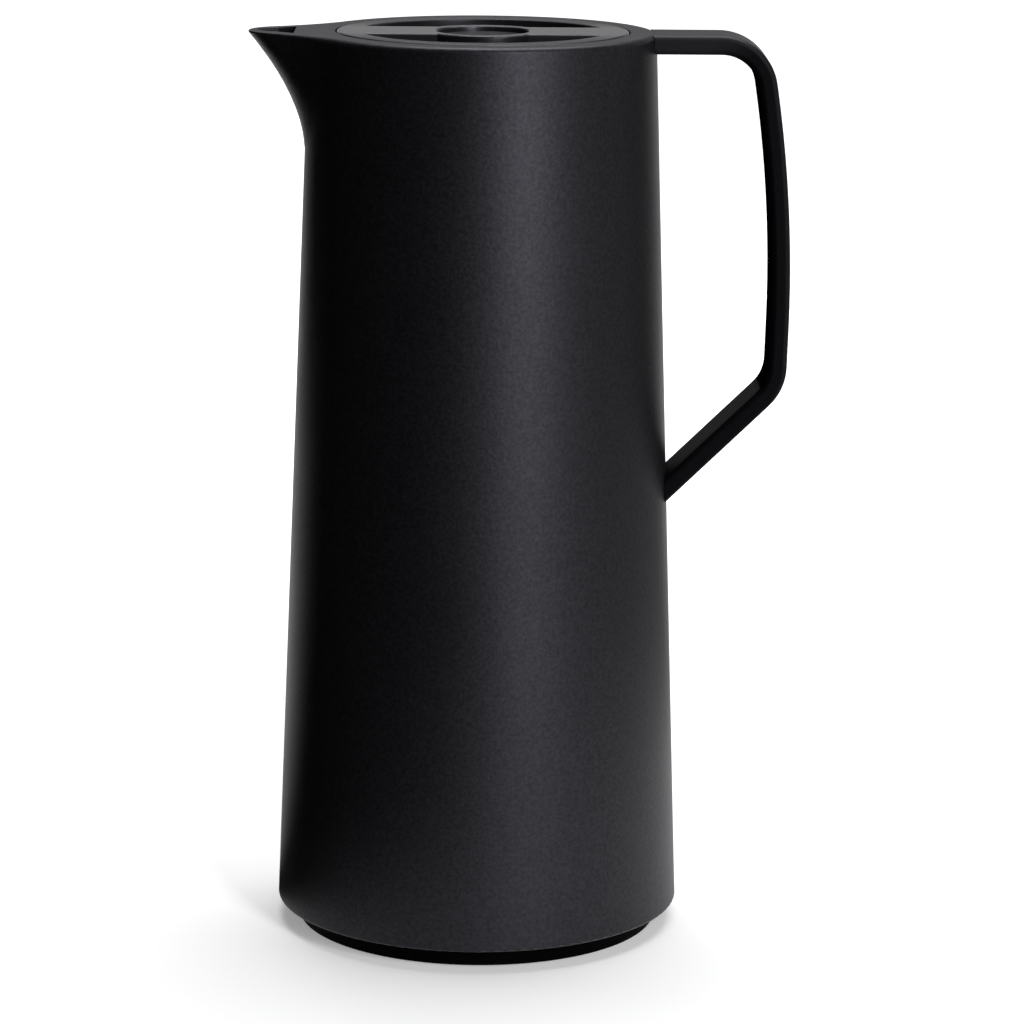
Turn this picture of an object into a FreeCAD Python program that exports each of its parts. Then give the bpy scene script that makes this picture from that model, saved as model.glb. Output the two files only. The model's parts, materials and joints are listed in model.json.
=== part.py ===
"""Thermal carafe: tapered shell with a beak, strap handle, glass liner and a press-to-pour stopper.

Millimetres, +Z up. The origin is on the body's axis at the level of the surface it stands on.
The spout points to -X and the handle to +X, so the XZ plane is the plane of symmetry.
"""
import FreeCAD, Part
import math
import os
from types import SimpleNamespace

import Sketcher

DIMENSIONS = {
    # Outer shell
    "rim_height": 279.0,
    "rim_radius": 52.8,
    "hem_radius": 62.85,
    "hem_height": 6.6,
    "hem_round": 0.9,
    "hem_fillet": 3.0,
    "shell_wall": 2.4,
    "deck_thickness": 3.0,
    "rim_round": 1.6,
    "nose_round": 0.4,
    # Beak
    "beak_drop": 37.0,
    "beak_blend": 1.5,
    "beak_reach": 18.8,
    "beak_flare": 1.75,
    "nose_radius": 12.0,
    "nose_radius_low": 40.0,
    "flank_radius": 60.0,
    "beak_sections": 6,
    "slot_ledge": 4.2,
    "lip_width": 9.3,
    "ramp_depth": 1.9,
    "ramp_edge": 2.6,
    "ramp_width": 7.0,
    "slot_back_width": 21.0,
    "slot_front_width": 12.0,
    "trough_gap": 0.4,
    "trough_wall": 2.0,
    "trough_half_angle": 25.0,
    # Plinth
    "plinth_inset": 6.75,
    "plinth_floor": 3.0,
    "pad_edge": 4.6,
    "pad_thickness": 2.0,
    "pad_proud": 0.5,
    "pad_gap": 0.1,
    "spigot_step": 5.2,
    "spigot_wall": 2.5,
    "spigot_height": 11.0,
    "spigot_gap": 0.3,
    "spanner_radius": 3.0,
    "spanner_inset": 15.5,
    "spanner_depth": 1.6,
    # Glass liner
    "flask_gap": 1.75,
    "flask_base_round": 20.0,
    "glass_wall": 1.8,
    "vacuum_gap": 4.2,
    "shoulder_rise": 26.0,
    "shoulder_round": 18.0,
    "throat_round": 8.0,
    "neck_bore": 25.2,
    "neck_gap": 3.4,
    "neck_length": 12.0,
    "mouth_drop": 45.0,
    "lip_height": 3.0,
    "lip_round": 1.0,
    "seal_tip_radius": 3.5,
    "seal_tip_length": 6.5,
    "seal_tip_round": 3.0,
    "spacer_height": 120.0,
    "spacer_size": 8.0,
    "spacer_gap": 0.1,
    "spacer_count": 3,
    "cushion_inset": 10.4,
    "cushion_height": 12.0,
    "cushion_taper": 3.0,
    "cushion_bore": 10.0,
    "gasket_thickness": 2.0,
    "gasket_skirt": 4.5,
    "gasket_gap": 0.3,
    "gasket_wall": 1.7,
    # Pour collar
    "collar_step": 4.6,
    "collar_tube_wall": 3.2,
    "bowl_drop": 25.5,
    "bowl_floor_thickness": 2.5,
    "bowl_ledge": 0.8,
    "bowl_wall": 2.0,
    "bowl_window_width": 30.0,
    "bowl_window_height": 13.0,
    # Handle
    "strap_width": 22.0,
    "strap_thickness": 5.8,
    "strap_round": 1.8,
    "strap_overlap": 3.8,
    "handle_reach": 31.6,
    "bow_swell": 7.9,
    "bow_rise": 0.6,
    "bow_share": 1.03,
    "knee_inset": 1.4,
    "knee_rise": 34.6,
    "root_drop": 3.7,
    "root_overlap": 2.7,
    "bend_radius": 14.35,
    "root_gap": 0.1,
    "tongue_width": 14.0,
    "tongue_thickness": 2.0,
    "tongue_drop": 0.4,
    "tongue_reach": 4.6,
    "hook_drop": 2.4,
    "hook_gap": 0.2,
    "window_gap": 0.2,
    "lug_width": 10.0,
    "lug_thickness": 5.0,
    "lug_drop": 138.1,
    "screw_radius": 1.3,
    "screw_gap": 0.05,
    "screw_length": 5.4,
    "screw_head_radius": 2.6,
    "screw_head_height": 1.8,
    "washer_radius": 4.8,
    "washer_thickness": 0.8,
    # Stopper plug
    "seat_gap": 0.2,
    "plug_gap": 1.4,
    "plug_seal_thickness": 1.8,
    "plug_seal_width": 4.4,
    "plug_flange": 2.0,
    "plug_tube_gap": 0.5,
    "plug_tube_wall": 2.4,
    "plug_tube_height": 7.0,
    "valve_port": 10.0,
    "port_bevel": 1.0,
    "turn_gap": 0.3,
    "retainer_gap": 0.05,
    "retainer_width": 2.1,
    "retainer_height": 1.4,
    # Lid
    "deck_ledge": 8.4,
    "lid_gap": 0.5,
    "lid_rise": 0.2,
    "lid_height": 12.0,
    "lid_round": 0.6,
    "recess_edge": 7.1,
    "recess_floor": 2.5,
    "recess_round": 0.6,
    "bar_width": 23.4,
    "boss_wall": 3.9,
    "lid_seal_depth": 1.4,
    "lid_seal_height": 1.4,
    "lid_seal_drop": 2.0,
    "lid_seal_gap": 0.15,
    "flange_inset": 1.0,
    "skirt_flange": 2.5,
    "skirt_gap": 1.2,
    "skirt_tube_wall": 3.8,
    "skirt_lip_width": 2.1,
    "skirt_lip_height": 2.0,
    "pour_window_width": 17.0,
    "pour_window_height": 8.0,
    "pour_window_drop": 1.0,
    "pour_window_count": 6,
    "well_wall": 2.5,
    "well_floor": 2.5,
    "guide_radius": 6.5,
    "guide_length": 5.5,
    "lid_screw_inset": 3.8,
    "lid_screw_start": 45.0,
    "lid_screw_radius": 1.4,
    "lid_screw_depth": 7.0,
    "lid_screw_tip_gap": 0.5,
    "lid_screw_head": 2.6,
    "lid_screw_count": 4,
    # Button and valve
    "button_radius": 13.8,
    "button_gap": 0.3,
    "button_drop": 1.5,
    "button_dish": 1.1,
    "button_dish_flat": 6.0,
    "button_dish_round": 60.0,
    "button_top": 1.8,
    "button_skirt": 2.0,
    "button_height": 8.4,
    "button_round": 0.6,
    "button_boss": 5.5,
    "button_boss_length": 8.4,
    "button_boss_floor": 0.4,
    "press_room": 4.7,
    "stem_radius": 3.0,
    "stem_gap": 0.05,
    "stem_tail": 2.2,
    "stem_seal_width": 1.9,
    "stem_seal_height": 1.9,
    "seat_washer_radius": 10.5,
    "seat_washer_thickness": 0.5,
    "spring_radius": 8.2,
    "wire_radius": 0.4,
    "spring_turns": 5,
    "spring_gap": 0.1,
    "valve_overlap": 4.0,
    "valve_thickness": 3.1,
    "valve_seal_thickness": 1.3,
    "valve_gap": 0.1,
    "nut_radius": 4.2,
    "nut_height": 2.4,
}

SHEET = "Sizes"


class Size:
    """A length: its number in millimetres, and the sheet expression that gives it."""

    def __init__(self, number, text):
        self.number = number
        self.text = text

    def joined(self, sign, other, number):
        text = other.text if isinstance(other, Size) else repr(other)
        return Size(number, f"({self.text} {sign} {text})")

    def __add__(self, other):
        return self.joined("+", other, self.number + float(other))

    def __sub__(self, other):
        return self.joined("-", other, self.number - float(other))

    def __mul__(self, other):
        return self.joined("*", other, self.number * float(other))

    def __truediv__(self, other):
        return self.joined("/", other, self.number / float(other))

    def __neg__(self):
        return Size(-self.number, f"(-1 * {self.text})")

    def __float__(self):
        return float(self.number)


doc = FreeCAD.newDocument("thermal_carafe")
sheet = doc.addObject("Spreadsheet::Sheet", SHEET)
for row, (name, value) in enumerate(DIMENSIONS.items(), start=1):
    sheet.set(f"A{row}", name)
    sheet.set(f"B{row}", str(value))
    sheet.setAlias(f"B{row}", name)
doc.recompute()

s = SimpleNamespace(**{name: Size(value, f"{SHEET}.{name}") for name, value in DIMENSIONS.items()})
AXIS = 0
NEAR = 0.01
PIECES = []


def piece(thing):
    """Keeps an object of the document as a sub-part of the carafe."""
    PIECES.append(thing)
    return thing


def plane(body, role):
    return next(item for item in body.Origin.OriginFeatures if item.Role == role)


def new_body(label):
    body = doc.addObject("PartDesign::Body", label)
    body.Label = label
    return piece(body)


def new_sketch(body, name, role, offset=None):
    """A sketch on one of the body's own planes, moved along the plane's normal by offset."""
    sketch = body.newObject("Sketcher::SketchObject", f"{body.Name}_{name}")
    sketch.AttachmentSupport = (plane(body, role), [""])
    sketch.MapMode = "FlatFace"
    if offset is not None:
        sketch.setExpression("AttachmentOffset.Base.z", offset.text)
    return sketch


def bind(sketch, kind, *places, size):
    """Adds a dimension to a sketch, taken from the sheet."""
    index = sketch.addConstraint(Sketcher.Constraint(kind, *places, float(size)))
    if isinstance(size, Size):
        sketch.setExpression(f"Constraints[{index}]", size.text)


def pin_point(sketch, geometry, end, x, y):
    """Sets where a point of the sketch lies, measured from the sketch's origin."""
    for kind, size, axis in (("DistanceX", x, -2), ("DistanceY", y, -1)):
        if isinstance(size, Size):
            bind(sketch, kind, -1, 1, geometry, end, size=size)
        else:
            sketch.addConstraint(Sketcher.Constraint("PointOnObject", geometry, end, axis))


def rounded_corner(before, corner, after, radius):
    """The two ends, the centre and the turn of the arc that rounds a corner."""
    back = (before - corner).normalize()
    ahead = (after - corner).normalize()
    half = back.getAngle(ahead) / 2
    cut = radius / math.tan(half)
    centre = corner + (back + ahead).normalize() * (radius / math.sin(half))
    turn = -back.x * ahead.y + back.y * ahead.x
    return corner + back * cut, corner + ahead * cut, centre, turn


def draw(sketch, corners, closed=True):
    """Draws straight runs through the corners. A corner's third value is the radius that rounds it."""
    places = [FreeCAD.Vector(float(corner[0]), float(corner[1]), 0) for corner in corners]
    count = len(corners)
    starts = list(places)
    ends = list(places)
    arcs = {}
    for index, corner in enumerate(corners):
        if len(corner) == 3:
            first, last, centre, turn = rounded_corner(
                places[index - 1], places[index], places[(index + 1) % count], float(corner[2]))
            ends[index] = first
            starts[index] = last
            arcs[index] = (centre, turn)
    runs = count if closed else count - 1
    lines = []
    for index in range(runs):
        line = Part.LineSegment(starts[index], ends[(index + 1) % count])
        lines.append(sketch.addGeometry(line, False))
    for index, corner in enumerate(corners):
        has_both = closed or 0 < index < count - 1
        if not has_both:
            end = 1 if index == 0 else 2
            pin_point(sketch, lines[min(index, runs - 1)], end, corner[0], corner[1])
            continue
        before = lines[index - 1]
        after = lines[index % runs]
        if index not in arcs:
            sketch.addConstraint(Sketcher.Constraint("Coincident", before, 2, after, 1))
            pin_point(sketch, after, 1, corner[0], corner[1])
            continue
        centre, turn = arcs[index]
        angles = [math.atan2(end.y - centre.y, end.x - centre.x) for end in (ends[index], starts[index])]
        near, far = (1, 2) if turn > 0 else (2, 1)
        circle = Part.Circle(centre, FreeCAD.Vector(0, 0, 1), float(corner[2]))
        sweep = angles if turn > 0 else angles[::-1]
        arc = sketch.addGeometry(Part.ArcOfCircle(circle, *sweep), False)
        mark = sketch.addGeometry(Part.Point(places[index]), True)
        sketch.addConstraint(Sketcher.Constraint("Tangent", before, 2, arc, near))
        sketch.addConstraint(Sketcher.Constraint("Tangent", arc, far, after, 1))
        sketch.addConstraint(Sketcher.Constraint("PointOnObject", mark, 1, before))
        sketch.addConstraint(Sketcher.Constraint("PointOnObject", mark, 1, after))
        bind(sketch, "Radius", arc, size=corner[2])
        pin_point(sketch, mark, 1, corner[0], corner[1])


def turned(label, corners):
    """A body turned about the axis from an outline of (radius, height) corners."""
    body = new_body(label)
    sketch = new_sketch(body, "outline", "XZ_Plane")
    draw(sketch, corners)
    turn = body.newObject("PartDesign::Revolution", f"{body.Name}_turned")
    turn.Profile = sketch
    turn.ReferenceAxis = (sketch, ["V_Axis"])
    turn.Angle = 360
    return body


def ring(label, inner, outer, bottom, top):
    """A plain ring of square section."""
    return turned(label, [(inner, bottom), (outer, bottom), (outer, top), (inner, top)])


def add_circle(sketch, radius, x, y):
    place = FreeCAD.Vector(float(x), float(y), 0)
    circle = sketch.addGeometry(Part.Circle(place, FreeCAD.Vector(0, 0, 1), float(radius)), False)
    bind(sketch, "Radius", circle, size=radius)
    pin_point(sketch, circle, 3, x, y)


def pocket(body, sketch, depth, reverse=False):
    """Cuts the sketch into the body, and makes sure that it removed something."""
    doc.recompute()
    before = body.Shape.Volume
    cut = body.newObject("PartDesign::Pocket", f"{sketch.Name}_cut")
    cut.Profile = sketch
    cut.setExpression("Length", depth.text)
    cut.Reversed = reverse
    doc.recompute()
    assert body.Shape.Volume < before, sketch.Name
    return cut


def pad(body, sketch, length, reverse=False):
    block = body.newObject("PartDesign::Pad", f"{sketch.Name}_block")
    block.Profile = sketch
    block.setExpression("Length", length.text)
    block.Reversed = reverse
    return block


def around(body, feature, count):
    """Repeats a feature evenly about the axis."""
    pattern = body.newObject("PartDesign::PolarPattern", f"{feature.Name}_around")
    pattern.Originals = [feature]
    pattern.Axis = (plane(body, "Z_Axis"), [""])
    pattern.Angle = 360
    pattern.setExpression("Occurrences", count.text)
    body.Tip = pattern


def shaped(label, shape):
    """A sub-part whose form comes from lofted or repeated solids."""
    thing = doc.addObject("Part::Feature", label)
    thing.Label = label
    thing.Shape = shape
    return piece(thing)


def least(first, second):
    """The smaller of two lengths."""
    return Size(min(float(first), float(second)), f"min({first.text}; {second.text})")


taper = (s.hem_radius - s.rim_radius) / (s.rim_height - s.hem_height)


def shell_radius(height):
    """Radius of the tapered body at a height."""
    return s.rim_radius + taper * (s.rim_height - height)


# The beak, the deck and the lid's opening follow the rim
deck_under = s.rim_height - s.deck_thickness
beak_root = s.rim_height - s.beak_drop
beak_start = beak_root + s.beak_blend
slot_back = s.rim_radius + s.slot_ledge
slot_front = s.rim_radius + s.beak_reach - s.lip_width
ramp_front = s.rim_radius + s.beak_reach - s.ramp_edge
lid_radius = s.rim_radius - s.deck_ledge
bowl_floor = s.rim_height - s.bowl_drop
bowl_top = bowl_floor + s.bowl_floor_thickness
bowl_bore = lid_radius + s.bowl_ledge

# The plinth follows the hem
plinth_radius = s.hem_radius - s.plinth_inset
pad_radius = plinth_radius - s.pad_edge
spigot_radius = plinth_radius - s.spigot_step
spigot_top = s.hem_height + s.spigot_height
spanner_reach = pad_radius - s.spanner_inset
plinth_top = s.pad_thickness + s.plinth_floor

# The handle runs from the rim to a lug on the shell
strap_level = s.rim_height - s.strap_thickness / 2
strap_start = s.rim_radius - s.strap_overlap
tongue_end = s.rim_radius - s.tongue_reach
tongue_top = deck_under - s.tongue_drop
tongue_under = tongue_top - s.tongue_thickness
lug_height = s.rim_height - s.lug_drop
lug_top = lug_height + s.lug_thickness / 2
lug_under = lug_height - s.lug_thickness / 2
lug_end = shell_radius(lug_height) - s.shell_wall
root_height = lug_height - s.root_drop
root_reach = shell_radius(root_height) - s.root_overlap
knee_height = root_height + s.knee_rise
bow_height = (s.rim_height + knee_height) / 2 + s.bow_rise
shoulder_reach = s.rim_radius + s.handle_reach
bow_reach = shoulder_reach + s.bow_swell
knee_reach = bow_reach - s.knee_inset
upper_slope = s.bow_swell / (strap_level - bow_height)
lower_slope = s.knee_inset / (bow_height - knee_height)
bow_radius = (strap_level - bow_height - s.bend_radius) * s.bow_share * 2 / (upper_slope + lower_slope)
washer_top = shell_radius(lug_height + s.washer_radius)
washer_bottom = shell_radius(lug_height - s.washer_radius)
washer_wall = least(washer_top, washer_bottom) - s.shell_wall
washer_sag = s.washer_radius * s.washer_radius / ((washer_wall - s.washer_radius) * 2)
washer_face = washer_wall - washer_sag - s.washer_thickness
screw_head_face = washer_face - s.screw_head_height

# The liner stands on its cushion, clear of the shell and of the handle's screw
mouth_height = s.rim_height - s.mouth_drop
shoulder_end = mouth_height - s.neck_length
shoulder_height = shoulder_end - s.shoulder_rise
flask_base = plinth_top + s.cushion_height
flask_room = least(shell_radius(shoulder_height) - s.shell_wall, screw_head_face)
flask_radius = flask_room - s.flask_gap
neck_radius = s.neck_bore + s.glass_wall * 2 + s.neck_gap
gasket_top = mouth_height + s.gasket_thickness
cushion_radius = spigot_radius - s.spigot_wall - s.cushion_inset

# The stopper follows the neck's tube below and the lid's opening above
collar_tube_bore = s.neck_bore + s.collar_step
skirt_tube_radius = collar_tube_bore - s.skirt_gap
skirt_tube_bore = skirt_tube_radius - s.skirt_tube_wall
plug_radius = collar_tube_bore - s.plug_gap
plug_tube_radius = skirt_tube_bore - s.skirt_lip_width - s.plug_tube_gap
plug_under = gasket_top + s.seat_gap + s.plug_seal_thickness
plug_top = plug_under + s.plug_flange
skirt_foot = plug_top + s.turn_gap
lid_top_height = s.rim_height + s.lid_rise
lid_under = lid_top_height - s.lid_height
recess_radius = lid_radius - s.recess_edge
recess_depth = s.lid_height - s.recess_floor
skirt_flange_radius = lid_radius - s.flange_inset
skirt_flange_under = lid_under - s.skirt_flange
lid_screw_ring = lid_radius - s.lid_screw_inset

# The button, its well and the valve under it
well_bore = s.button_radius + s.button_gap
boss_radius = well_bore + s.boss_wall
button_edge = lid_top_height - s.button_drop
button_foot = button_edge - s.button_height
button_ceiling = button_edge - s.button_dish - s.button_top
button_boss_foot = button_ceiling - s.button_boss_length
well_bottom = button_boss_foot - s.press_room - s.seat_washer_thickness
stem_top = button_ceiling - s.button_boss_floor
valve_radius = s.valve_port + s.valve_overlap
valve_top = plug_under - s.valve_gap
valve_face = valve_top - s.valve_seal_thickness
valve_under = valve_face - s.valve_thickness


def shell_outline(gap):
    """The turned outside of the shell, grown by a gap, closed along the axis."""
    return [
        (AXIS, s.hem_height),
        (s.hem_radius + gap, s.hem_height, s.hem_round),
        (s.rim_radius + gap, s.rim_height + gap, s.rim_round),
        (AXIS, s.rim_height + gap),
    ]


def beak_section(height, inset):
    """The level outline of body and beak at a height, moved inwards by inset.

    A nose arc is joined to the round body by two hollow flanks, tangent to both.
    """
    share = (height - float(beak_root)) / (float(s.rim_height) - float(beak_root))
    body = float(s.rim_radius) + float(taper) * (float(s.rim_height) - height) - inset
    tip = body + float(s.beak_reach) * share ** float(s.beak_flare)
    low = float(s.nose_radius_low)
    nose = low + (float(s.nose_radius) - low) * share - inset
    flank = float(s.flank_radius) + inset
    nose_place = tip - nose
    reach = body + flank
    cosine = (nose_place ** 2 + reach ** 2 - (nose + flank) ** 2) / (2 * nose_place * reach)
    sine = math.sqrt(1 - cosine ** 2)

    def point(x, y):
        return FreeCAD.Vector(x, y, height)

    def along(start_x, start_y, toward_x, toward_y, length):
        size = math.hypot(toward_x - start_x, toward_y - start_y)
        share_of = length / size
        return start_x + (toward_x - start_x) * share_of, start_y + (toward_y - start_y) * share_of

    flank_x = -reach * cosine
    flank_y = reach * sine
    root_x = -body * cosine
    root_y = body * sine
    side_x, side_y = along(-nose_place, 0, flank_x, flank_y, nose)
    middle_x, middle_y = along(flank_x, flank_y, (root_x + side_x) / 2, (root_y + side_y) / 2, flank)
    half_turn = math.pi - math.acos(cosine)
    quarter_x = body * math.cos(half_turn / 2)
    quarter_y = body * math.sin(half_turn / 2)
    arcs = [
        Part.Arc(point(body, 0), point(quarter_x, quarter_y), point(root_x, root_y)),
        Part.Arc(point(root_x, root_y), point(middle_x, middle_y), point(side_x, side_y)),
        Part.Arc(point(side_x, side_y), point(-tip, 0), point(side_x, -side_y)),
        Part.Arc(point(side_x, -side_y), point(middle_x, -middle_y), point(root_x, -root_y)),
        Part.Arc(point(root_x, -root_y), point(quarter_x, -quarter_y), point(body, 0)),
    ]
    return Part.Wire([arc.toShape() for arc in arcs])


def beak_loft(bottom, top, inset):
    """A solid of body and beak between two heights."""
    count = DIMENSIONS["beak_sections"]
    step = (top - bottom) / (count - 1)
    wires = [beak_section(bottom + step * index, inset) for index in range(count)]
    return Part.makeLoft(wires, True, False)


def turned_solid(corners):
    """A solid turned about the axis from plain (radius, height) numbers."""
    wire = Part.makePolygon([FreeCAD.Vector(r, 0, z) for r, z in corners + corners[:1]])
    return Part.Face(wire).revolve(FreeCAD.Vector(0, 0, 0), FreeCAD.Vector(0, 0, 1), 360)


def rounded_crown(bottom, top):
    """Body and beak between two heights, with a rim edge that sharpens towards the nose."""
    blank = doc.addObject("Part::Feature", "crown_blank")
    blank.Shape = beak_loft(bottom, top, 0)
    rounds = []
    for number, edge in enumerate(blank.Shape.Edges, start=1):
        if edge.BoundBox.ZMin > top - NEAR:
            ends = [edge.valueAt(edge.FirstParameter), edge.valueAt(edge.LastParameter)]
            radii = [s.nose_round if end.x < -float(s.rim_radius) else s.rim_round for end in ends]
            rounds.append((number, float(radii[0]), float(radii[1])))
    crown = doc.addObject("Part::Fillet", "crown")
    crown.Base = blank
    crown.Edges = rounds
    doc.recompute()
    return crown.Shape


def make_outer_shell():
    """Tapered body with a crisp hem, a screw neck for the plinth, the beak and the deck."""
    wall = float(s.shell_wall)
    start = float(beak_start)
    rim = float(s.rim_height)
    hem = float(s.hem_height)

    def lower_solid(inset, bottom, corner_round):
        radius = float(s.hem_radius) - inset
        top_radius = float(shell_radius(beak_start)) - inset
        solid = turned_solid([(0, bottom), (radius, bottom), (top_radius, start), (0, start)])
        corner = [edge for edge in solid.Edges if edge.Closed and edge.BoundBox.ZMax < bottom + NEAR]
        return solid.makeFillet(float(corner_round), corner)

    outside = lower_solid(0, hem, s.hem_round).fuse(rounded_crown(start, rim))
    inside = lower_solid(wall, hem + wall, s.hem_fillet).fuse(beak_loft(start, float(deck_under), wall))
    shell = outside.cut(inside)
    opening = float(spigot_radius + s.spigot_gap)
    neck = Part.makeCylinder(opening + wall, float(s.spigot_height), FreeCAD.Vector(0, 0, hem))
    shell = shell.fuse(neck).cut(Part.makeCylinder(opening, float(spigot_top), FreeCAD.Vector(0, 0, 0)))
    lid_hole = float(lid_radius + s.lid_gap)
    shell = shell.cut(Part.makeCylinder(lid_hole, rim, FreeCAD.Vector(0, 0, float(bowl_top))))
    return shell.cut(slot_cutter()).cut(tongue_window()).cut(lug_window()).removeSplitter()


def slot_cutter():
    """The pour slot, and the ramp that rises from its front wall to the lip."""
    back = -float(slot_back)
    front = -float(slot_front)
    tip = -float(ramp_front)
    rim = float(s.rim_height)
    clear = float(s.deck_thickness)
    back_half = float(s.slot_back_width) / 2
    front_half = float(s.slot_front_width) / 2
    tip_half = float(s.ramp_width) / 2

    def outline(height):
        corners = [(back, -back_half), (back, back_half), (front, front_half), (front, -front_half)]
        return Part.makePolygon([FreeCAD.Vector(x, y, height) for x, y in corners + corners[:1]])

    def cross(x, half_width, depth):
        low = rim - depth
        high = rim + clear
        corners = [(-half_width, low), (half_width, low), (half_width, high), (-half_width, high)]
        return Part.makePolygon([FreeCAD.Vector(x, y, z) for y, z in corners + corners[:1]])

    slot = Part.makeLoft([outline(rim - 2 * clear), outline(rim + clear)], True, True)
    ramp_low = cross(front, front_half, float(s.ramp_depth))
    ramp_high = cross(tip, tip_half, 0)
    ramp = Part.makeLoft([ramp_low, ramp_high], True, True)
    return slot.fuse(ramp)


def block(x_low, x_high, width, z_low, z_high):
    """A box about the plane of symmetry."""
    return Part.makeBox(x_high - x_low, width, z_high - z_low, FreeCAD.Vector(x_low, -width / 2, z_low))


def tongue_window():
    gap = float(s.window_gap)
    return block(float(tongue_end), float(shoulder_reach), float(s.tongue_width) + 2 * gap,
                 float(tongue_under) - gap, float(tongue_top) + gap)


def lug_window():
    gap = float(s.window_gap)
    inner = float(root_reach - s.lug_width)
    return block(inner, float(shoulder_reach), float(s.lug_width) + 2 * gap,
                 float(lug_under) - gap, float(lug_top) + gap)


def make_spout_trough():
    """Liner of the beak: open to the deck above and to the bowl behind."""
    outer = float(s.shell_wall + s.trough_gap)
    inner = outer + float(s.trough_wall)
    bottom = float(bowl_floor)
    floor = float(bowl_top)
    top = float(deck_under)
    height = top - bottom
    half = float(s.trough_half_angle)
    side = math.degrees(float(s.trough_wall) / float(s.rim_radius))

    def wedge(half_angle, start):
        sector = Part.makeCylinder(2 * float(s.rim_radius), height, FreeCAD.Vector(0, 0, start),
                                   FreeCAD.Vector(0, 0, 1), 2 * half_angle)
        return sector.rotated(FreeCAD.Vector(0, 0, 0), FreeCAD.Vector(0, 0, 1), 180 - half_angle)

    back = float(bowl_bore + s.bowl_wall + s.trough_gap)
    body = beak_loft(bottom, top, outer).common(wedge(half, bottom))
    hollow = beak_loft(bottom, top, inner).common(wedge(half - side, floor))
    clear = Part.makeCylinder(back, height, FreeCAD.Vector(0, 0, bottom))
    return body.cut(hollow).cut(clear)


def make_handle():
    """Strap handle: a swept strap, cut to the shell, with a hooked tongue above and a lug below."""
    body = new_body("handle")
    half = s.strap_thickness / 2
    path = new_sketch(body, "path", "XZ_Plane")
    draw(path, [
        (strap_start, strap_level),
        (shoulder_reach, strap_level, s.bend_radius),
        (bow_reach, bow_height, bow_radius),
        (knee_reach, knee_height, s.bend_radius),
        (root_reach, root_height),
    ], closed=False)
    section = new_sketch(body, "section", "YZ_Plane", strap_start)
    side = s.strap_width / 2
    draw(section, [
        (-side, strap_level - half, s.strap_round),
        (side, strap_level - half, s.strap_round),
        (side, strap_level + half, s.strap_round),
        (-side, strap_level + half, s.strap_round),
    ])
    strap = body.newObject("PartDesign::AdditivePipe", "handle_strap")
    strap.Profile = section
    strap.Spine = path
    doc.recompute()
    before = body.Shape.Volume
    fit = new_sketch(body, "fit", "XZ_Plane")
    draw(fit, shell_outline(s.root_gap))
    groove = body.newObject("PartDesign::Groove", "handle_fit")
    groove.Profile = fit
    groove.ReferenceAxis = (fit, ["V_Axis"])
    groove.Angle = 360
    doc.recompute()
    assert body.Shape.Volume < before
    wall_bulge = s.tongue_width * s.tongue_width / (s.rim_radius * 8)
    hook_face = shell_radius(tongue_under) - s.shell_wall - wall_bulge - s.hook_gap
    tongue = new_sketch(body, "tongue", "XZ_Plane")
    draw(tongue, [
        (tongue_end, tongue_under - s.hook_drop),
        (hook_face, tongue_under - s.hook_drop),
        (hook_face, tongue_under),
        (s.rim_radius + s.strap_thickness, tongue_under),
        (s.rim_radius + s.strap_thickness, tongue_top),
        (tongue_end, tongue_top),
    ])
    pad(body, tongue, s.tongue_width).Midplane = True
    lug = new_sketch(body, "lug", "XZ_Plane")
    draw(lug, [
        (lug_end, lug_under),
        (shell_radius(lug_height) + half, lug_under + half),
        (shell_radius(lug_height) + half, lug_top),
        (lug_end, lug_top),
    ])
    pad(body, lug, s.lug_width).Midplane = True
    hole = new_sketch(body, "pilot", "YZ_Plane", lug_end)
    add_circle(hole, s.screw_radius + s.screw_gap, AXIS, lug_height)
    pocket(body, hole, s.screw_length - s.washer_thickness + s.screw_gap, reverse=True)


def screw(radius, length, head_radius, head_height):
    """A screw along +Z: its head below the origin, its shank above."""
    shank = Part.makeCylinder(radius, length)
    head = Part.makeCylinder(head_radius, head_height, FreeCAD.Vector(0, 0, -head_height))
    rim = [edge for edge in head.Edges if edge.BoundBox.ZMax < NEAR - head_height]
    return head.makeFillet(head_height / 2, rim).fuse(shank).removeSplitter()


def along_x(shape, start, height):
    """Turns a solid made along +Z to point along +X from a place in the plane of symmetry."""
    turned_shape = shape.rotated(FreeCAD.Vector(0, 0, 0), FreeCAD.Vector(0, 1, 0), 90)
    return turned_shape.translated(FreeCAD.Vector(start, 0, height))


def make_handle_fixing():
    """The screw and washer that hold the handle's lug from inside the shell."""
    thickness = float(s.washer_thickness)
    face = float(washer_face)
    length = float(lug_end) - face + float(s.screw_length) - thickness
    body = screw(float(s.screw_radius), length, float(s.screw_head_radius), float(s.screw_head_height))
    shaped("handle_screw", along_x(body, face, float(lug_height)))
    disc = Part.makeCylinder(float(s.washer_radius), thickness)
    disc = disc.cut(Part.makeCylinder(float(s.screw_radius + s.screw_gap), thickness))
    shaped("handle_washer", along_x(disc, face, float(lug_height)))


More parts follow.
